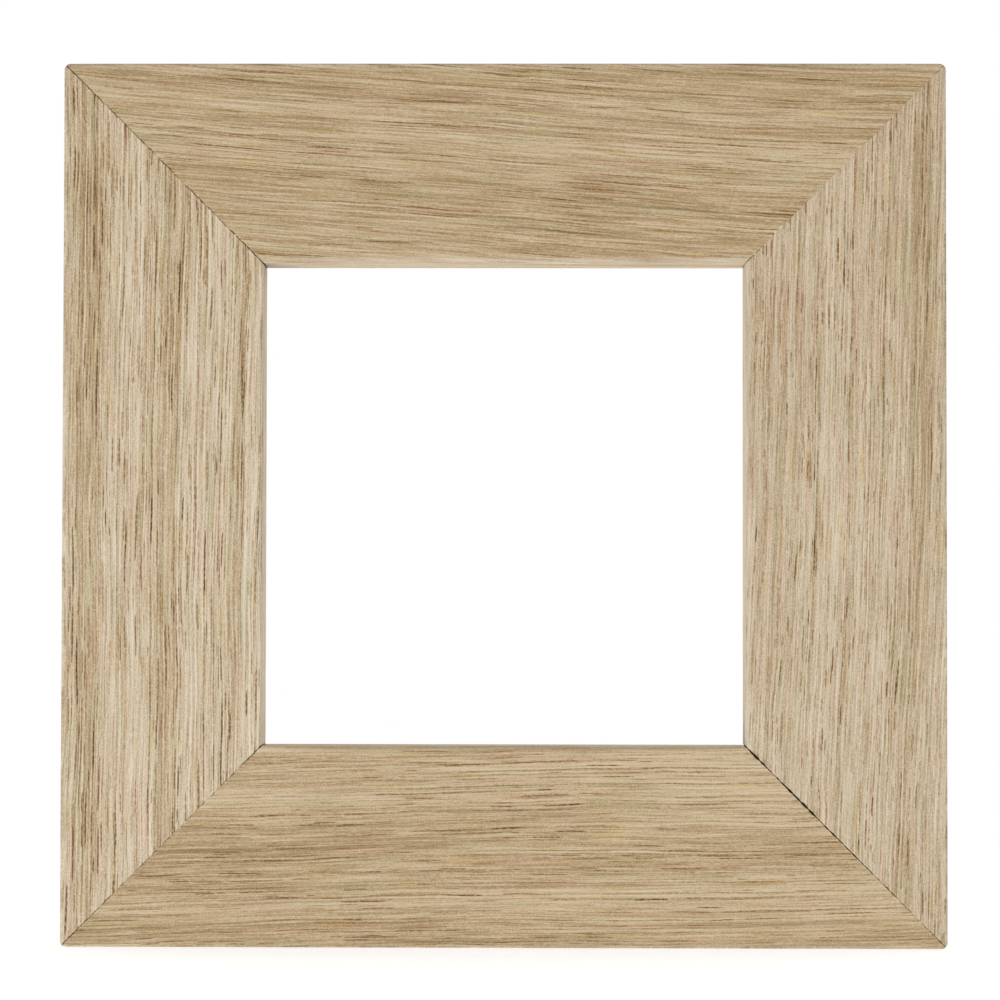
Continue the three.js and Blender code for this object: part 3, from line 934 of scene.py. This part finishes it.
def oak(side):
    """Straight-grained sanded oak: growth rings, fibres, vessels, hue drifts, painted sheen on the front
    edges and mitre lines.
    """
    look = OAK_LOOKS[side]
    paint = Paint(f"oak_{side}")
    paint.seed = SIDES[side] * 1.7
    turn = -math.radians(SIDES[side])
    to_rail = Matrix.Rotation(turn, 4, "Y") @ -CENTRE
    along, depth, out = paint.place(turn, to_rail + Vector((0, 0, HALF_SIDE)))

    # The grain lies in sheets that slope through the wood, so it runs on round the edges. A sheet is named
    # by its distance from the front's outer edge, which leans, sways and trembles along the rail.
    level = out + (depth - FRONT_Y) * 0.9
    sway = paint.noise((along, level), (75, 60)) * 1.6
    ripple = paint.noise((along, level), (20, 4)) * 0.55
    tremble = paint.noise((along, level), (7, 1.5)) * 0.1
    slope = along * (look["bend"] / HALF_SIDE / 2) + look["lean"]
    sheet = level - along * slope + sway + ripple + tremble
    point = (along, sheet)

    # Growth rings, of uneven width: each starts with open vessels and gets tanner towards its end
    ring = (sheet + paint.noise(point, (150, 8)) * 4.0) * (1 / look["ring"])
    phase = paint.math("FRACT", ring)
    late = phase * phase
    strength = paint.noise((along, ring), (120, 1.0)) + 0.5
    fold = paint.math("PINGPONG", sheet, RAIL_WIDTH)
    tone = paint.profile(fold * (1 / RAIL_WIDTH), look["across"])
    tone = tone + (late * strength - 0.17) * 0.4 + paint.noise(point, (80, 4)) * 0.3
    tone = tone + along * (look["drift"] / HALF_SIDE)

    streaks = [paint.noise(point, (length, width)) * power for width, length, power in OAK_STREAKS]
    fibre = sum(streaks[1:], streaks[0])
    speck = paint.noise((along, sheet), (0.35, 0.22))
    tone = tone + fibre * (0.6 * look["streaks"]) + speck * 0.6
    stops = [(share / 3, colour) for share, colour in enumerate(look["colours"])]
    colour = paint.ramp(paint.clamp(tone), stops)
    for tint, size, low, high in (
        (PINK, (30, 1.3), -0.05, 0.25),
        (GREEN, (26, 1.5), 0.0, 0.3),
        (OCHRE, (14, 1.0), 0.08, 0.34),
    ):
        colour = paint.mix(colour, tint, paint.step(paint.noise(point, size, 1.0), low, high), "MULTIPLY")

    # Vessels cut open, beaded, and denser in some zones of the wood than in others
    early = paint.step(phase, 0.6, 0.15) * 0.75 + 0.4
    dashes = [dash_rows(paint, point, early, look, *layer) for layer in OAK_DASHES]
    vessels = dashes[0]
    for layer in dashes[1:]:
        vessels = paint.math("MAXIMUM", vessels, layer)
    beads = paint.step(paint.noise(point, (0.8, 0.4)), -0.3, 0.15) * 0.5 + 0.5
    open_zones = paint.clamp(paint.noise(point, (45, 3.5)) * 2.0 + 0.7)
    vessels = vessels * beads * (open_zones * 0.7 + 0.45)
    dark = paint.clamp(vessels * look["dashes"])
    colour = paint.mix(colour, paint.ramp(dark, PORE_TINTS), 1.0, "MULTIPLY")
    # Painted sheen: the front edges are painted paler, unevenly, as a highlight
    streaky = paint.noise((along, level), (9.0, 1.2), 1.0) * 1.4 + depth - FRONT_Y
    for distance, edge_sheen in zip((out, RAIL_WIDTH - out), look["edge_sheen"]):
        colour = paint.mix(colour, SHEEN_PALE, paint.step(distance + streaky, 1.7, 0.1) * edge_sheen)
    colour, joint = add_joint(paint, side, along, out, colour)
    paint.set(Base_Color=colour)
    paint.set(Roughness=0.56 + dark * 0.25 + fibre * 0.1 + joint * 0.3)
    paint.bump(fibre * 0.25 + speck * 0.25 - vessels, 0.04)
    return paint.material


def dash_rows(paint, point, early, look, pitch, length, radius, share, darkness):
    """How dark each point is for one size of dash. A dash is a thin lens somewhere in its own long cell.

    A faint thread joins the dashes of a row.
    """
    along, sheet = point
    length = length * look["length"]
    radius = radius * look["width"]
    rows = sheet * (1 / pitch)
    row = paint.math("FLOOR", rows)
    start, lane, _ = paint.chances(row, 0.0)
    cells = along * (1 / length) + start * 31.0
    cell = paint.math("FLOOR", cells)
    chance, size, shade = paint.chances(row, cell)
    slip, shift, _ = paint.chances(cell, row)
    waver = paint.noise((along, row), (length * 0.5, 1.0), 1.0) + 0.5
    half = size * 0.3 + 0.14
    room = 1 - half * 2
    from_middle = cells - cell - 0.5 - (shift - 0.5) * room
    to_end = paint.math("DIVIDE", from_middle, half)
    lateral = lane * 0.72 + slip * 0.08 + waver * 0.2 - 0.5
    off = (rows - row - 0.5) * (pitch / radius) - lateral * (pitch / radius - 2)
    form = off * off + to_end * to_end * to_end * to_end
    body = paint.step(form, 1.0, 0.4)
    there = paint.math("GREATER_THAN", early * share, chance)
    dash = body * there * (shade * shade * 0.6 + 0.4)
    thread = paint.step(off * off, 1.0, 0.1) * early * (start * 0.5)
    return paint.math("MAXIMUM", dash, thread) * darkness


def add_joint(paint, side, along, out, colour):
    """Adds the broken brown line of glue at each mitre, with pale chips beside it.

    Gives back the colour, and where the line is.
    """
    first, last = (JOINT_GROOVES[corner][4] for corner in RAIL_JOINTS[side])
    middle = RAIL_WIDTH / 2
    ends = paint.step(abs(out - middle), middle * 0.7, middle)
    darkness = paint.math("GREATER_THAN", along, 0.0) * (last - first) + first + ends * 0.4
    inside = abs(along) + out - HALF_SIDE
    waver = paint.noise((along, out), (0.9, 0.9), 2.0)
    distance = abs(inside) * math.sqrt(0.5) + waver * 0.3
    patches = paint.noise((along, out), (1.7, 1.7), 2.0) + darkness * 0.7
    line = paint.step(distance, 0.18, 0.04) * paint.step(patches, 0.2, 0.45)
    flakes = paint.noise((along, out), (1.1, 1.1), 1.0)
    chips = paint.step(distance, 0.45, 0.2) * paint.step(flakes, 0.18, 0.26)
    colour = paint.mix(colour, CHIP_PALE, chips * 0.8)
    return paint.mix(colour, JOINT_BROWN, line * 0.95), line


def zinc(name, colour, dull, roughness):
    """Zinc-plated steel: a faint cloudy plating, fine rub marks and duller patches."""
    paint = Paint(name)
    x, y, z = paint.place(0, (0, 0, 0))
    cloud = paint.noise((x, y, z), (3.2, 3.2, 3.2), 3.0)
    streaky = paint.noise((x, y, z), (0.12, 0.12, 4.0), 1.0)
    cross_rub = paint.noise((x, y, z), (5.0, 0.15, 0.15), 1.0)
    share = paint.clamp(cloud * 1.2 + (streaky + cross_rub) * 0.5 + 0.5)
    paint.set(Base_Color=paint.mix(colour, dull, share), Metallic=1.0)
    paint.set(Roughness=roughness + cloud * 0.25 + (streaky + cross_rub) * 0.15)
    paint.bump((streaky + cross_rub) * 0.5 + cloud * 0.3, 0.02)
    return paint.material


def steel():
    """Plain strip steel with drawn lines on its sheared edges."""
    paint = Paint("strip_steel")
    x, y, z = paint.place(0, (0, 0, 0))
    drawn = paint.noise((x, y, z), (0.25, 3.0, 0.25), 1.0)
    spots = paint.noise((x, y, z), (0.9, 0.9, 0.9), 2.0)
    share = paint.clamp(drawn * 0.8 + spots + 0.5)
    paint.set(Base_Color=paint.mix(srgb(150, 149, 147), srgb(96, 92, 88), share), Metallic=1.0)
    paint.set(Roughness=0.42 + spots * 0.3)
    paint.bump(drawn, 0.02)
    return paint.material


def rubber():
    """Matt dark rubber with a fine moulded grain and pale dust in patches."""
    paint = Paint("bumper_rubber")
    x, y, z = paint.place(0, (0, 0, 0))
    grain = paint.noise((x, y, z), (0.22, 0.22, 0.22), 2.0)
    dust = paint.noise((x, y, z), (2.5, 2.5, 2.5), 3.0)
    share = paint.clamp(dust * 1.4 + grain * 0.6 + 0.25)
    paint.set(Base_Color=paint.mix(srgb(38, 36, 34), srgb(74, 70, 66), share))
    paint.set(Roughness=0.78 + dust * 0.3, Specular_IOR_Level=0.4)
    paint.bump(grain, 0.05)
    return paint.material


def dress(piece, material):
    """Puts one material in the piece's slots."""
    slots = piece.data.materials
    slots.clear()
    slots.append(material)


# Stage

WHITE = (1, 1, 1, 1)
FLOOR_LEVEL = 0.51  # how bright the open floor is in the studio's light alone

# Lamps: place and size in metres, and power in watts
LAMPS = {
    "key_lamp": ((-1.2, -1.5, -1.1), 1.3, 36.0),
    "fill_lamp": ((0.9, -1.2, 0.5), 1.0, 9.0),
    "back_lamp": ((-0.4, 1.2, -0.9), 0.9, 5.5),
}


def background_share(tree):
    """1 for rays that see the background directly, in a mirror or through glass, and 0 for light."""
    rays = tree.nodes.new("ShaderNodeLightPath")
    total = rays.outputs["Is Camera Ray"]
    for name in ("Is Glossy Ray", "Is Transmission Ray"):
        either = tree.nodes.new("ShaderNodeMath")
        either.operation = "MAXIMUM"
        tree.links.new(total, either.inputs[0])
        tree.links.new(rays.outputs[name], either.inputs[1])
        total = either.outputs[0]
    return total


def make_world(front_light, back_light):
    """A white surround whose light is brighter behind the frame, as white paper behind it is."""
    world = bpy.data.worlds.new("studio")
    bpy.context.scene.world = world
    world.use_nodes = True
    tree = world.node_tree
    lit = tree.nodes["Background"]
    lit.inputs["Color"].default_value = WHITE
    direction = tree.nodes.new("ShaderNodeSeparateXYZ")
    tree.links.new(tree.nodes.new("ShaderNodeTexCoord").outputs["Generated"], direction.inputs[0])
    light = tree.nodes.new("ShaderNodeMapRange")
    light.interpolation_type = "SMOOTHSTEP"
    tree.links.new(direction.outputs["Y"], light.inputs["Value"])
    limits = {"From Min": -0.5, "From Max": 0.5, "To Min": front_light, "To Max": back_light}
    for name, value in limits.items():
        light.inputs[name].default_value = value
    tree.links.new(light.outputs["Result"], lit.inputs["Strength"])
    seen = tree.nodes.new("ShaderNodeBackground")
    seen.inputs["Color"].default_value = WHITE
    seen.inputs["Strength"].default_value = 1
    mix = tree.nodes.new("ShaderNodeMixShader")
    tree.links.new(background_share(tree), mix.inputs[0])
    tree.links.new(lit.outputs[0], mix.inputs[1])
    tree.links.new(seen.outputs[0], mix.inputs[2])
    tree.links.new(mix.outputs[0], tree.nodes["World Output"].inputs["Surface"])


def make_floor(half_side, shadow_share, shadow_reach):
    """A pale floor that looks white, and keeps a share of the shadow that falls on it near the frame.

    It lets the light pass, because the photograph's light also comes from below the frame.
    """
    mesh = bpy.data.meshes.new("floor")
    drop = -0.02 * MM
    corners = [(-half_side, -half_side, drop), (half_side, -half_side, drop)]
    corners += [(half_side, half_side, drop), (-half_side, half_side, drop)]
    mesh.from_pydata(corners, [], [(0, 1, 2, 3)])
    floor = add_object("floor", mesh)
    floor.visible_diffuse = False
    floor.visible_shadow = False
    paint = Paint("pale_floor")
    x, y, _ = paint.place(0, (0, 0, 0))
    distance = paint.math("SQRT", x * x + y * y) * MM
    shaded = paint.step(distance, shadow_reach, shadow_reach * 0.2) * shadow_share
    seen = paint.value(background_share(paint.tree))
    paint.set(Base_Color=paint.mix(srgb(0, 0, 0), srgb(238, 238, 236), shaded))
    paint.set(Roughness=0.9, Specular_IOR_Level=0.0)
    paint.set(Emission_Color=srgb(255, 255, 255), Emission_Strength=seen * (1 - shaded * FLOOR_LEVEL))
    dress(floor, paint.material)


def make_lamp(name, place, size, power):
    """A soft square lamp that faces the frame's centre."""
    data = bpy.data.lights.new(name, "AREA")
    data.shape = "SQUARE"
    data.size = size
    data.energy = power
    lamp = bpy.data.objects.new(name, data)
    bpy.context.scene.collection.objects.link(lamp)
    lamp.location = place
    lamp.rotation_euler = (CENTRE * MM - Vector(place)).to_track_quat("-Z", "Y").to_euler()
    lamp.visible_camera = False


def make_camera():
    data = bpy.data.cameras.new("camera")
    data.sensor_width = SENSOR_WIDTH
    data.lens = CAMERA_LENS
    data.clip_start = 0.01
    camera = bpy.data.objects.new("camera", data)
    bpy.context.scene.collection.objects.link(camera)
    camera.location = Vector(CAMERA_PLACE) * MM
    camera.rotation_euler = [math.radians(angle) for angle in CAMERA_TURN]
    bpy.context.scene.camera = camera


make_camera()
make_world(front_light=0.25, back_light=1.1)
make_floor(half_side=4.0, shadow_share=0.7, shadow_reach=0.45)
for name, settings in LAMPS.items():
    make_lamp(name, *settings)

for side in SIDES:
    dress(make_rail(side), oak(side))

plate_zinc = zinc("zinc_plate", srgb(190, 193, 197), srgb(150, 153, 158), 0.36)
screw_zinc = zinc("zinc_screw", srgb(204, 206, 208), srgb(166, 168, 172), 0.27)
for side in SIDES:
    dress(make_button(side), plate_zinc)
    dress(make_screw(side), screw_zinc)
dress(make_hanger(), plate_zinc)
for end in ("left", "right"):
    dress(make_hanger_nail(end), screw_zinc)

dark_rubber = rubber()
strip_steel = steel()
for corner in CORNERS:
    dress(make_bumper(corner), dark_rubber)
    for place in ("outer", "inner"):
        dress(frame["nodes"][f"v_nail_{corner}_{place}"], strip_steel)

bpy.context.scene.view_settings.view_transform = "Standard"
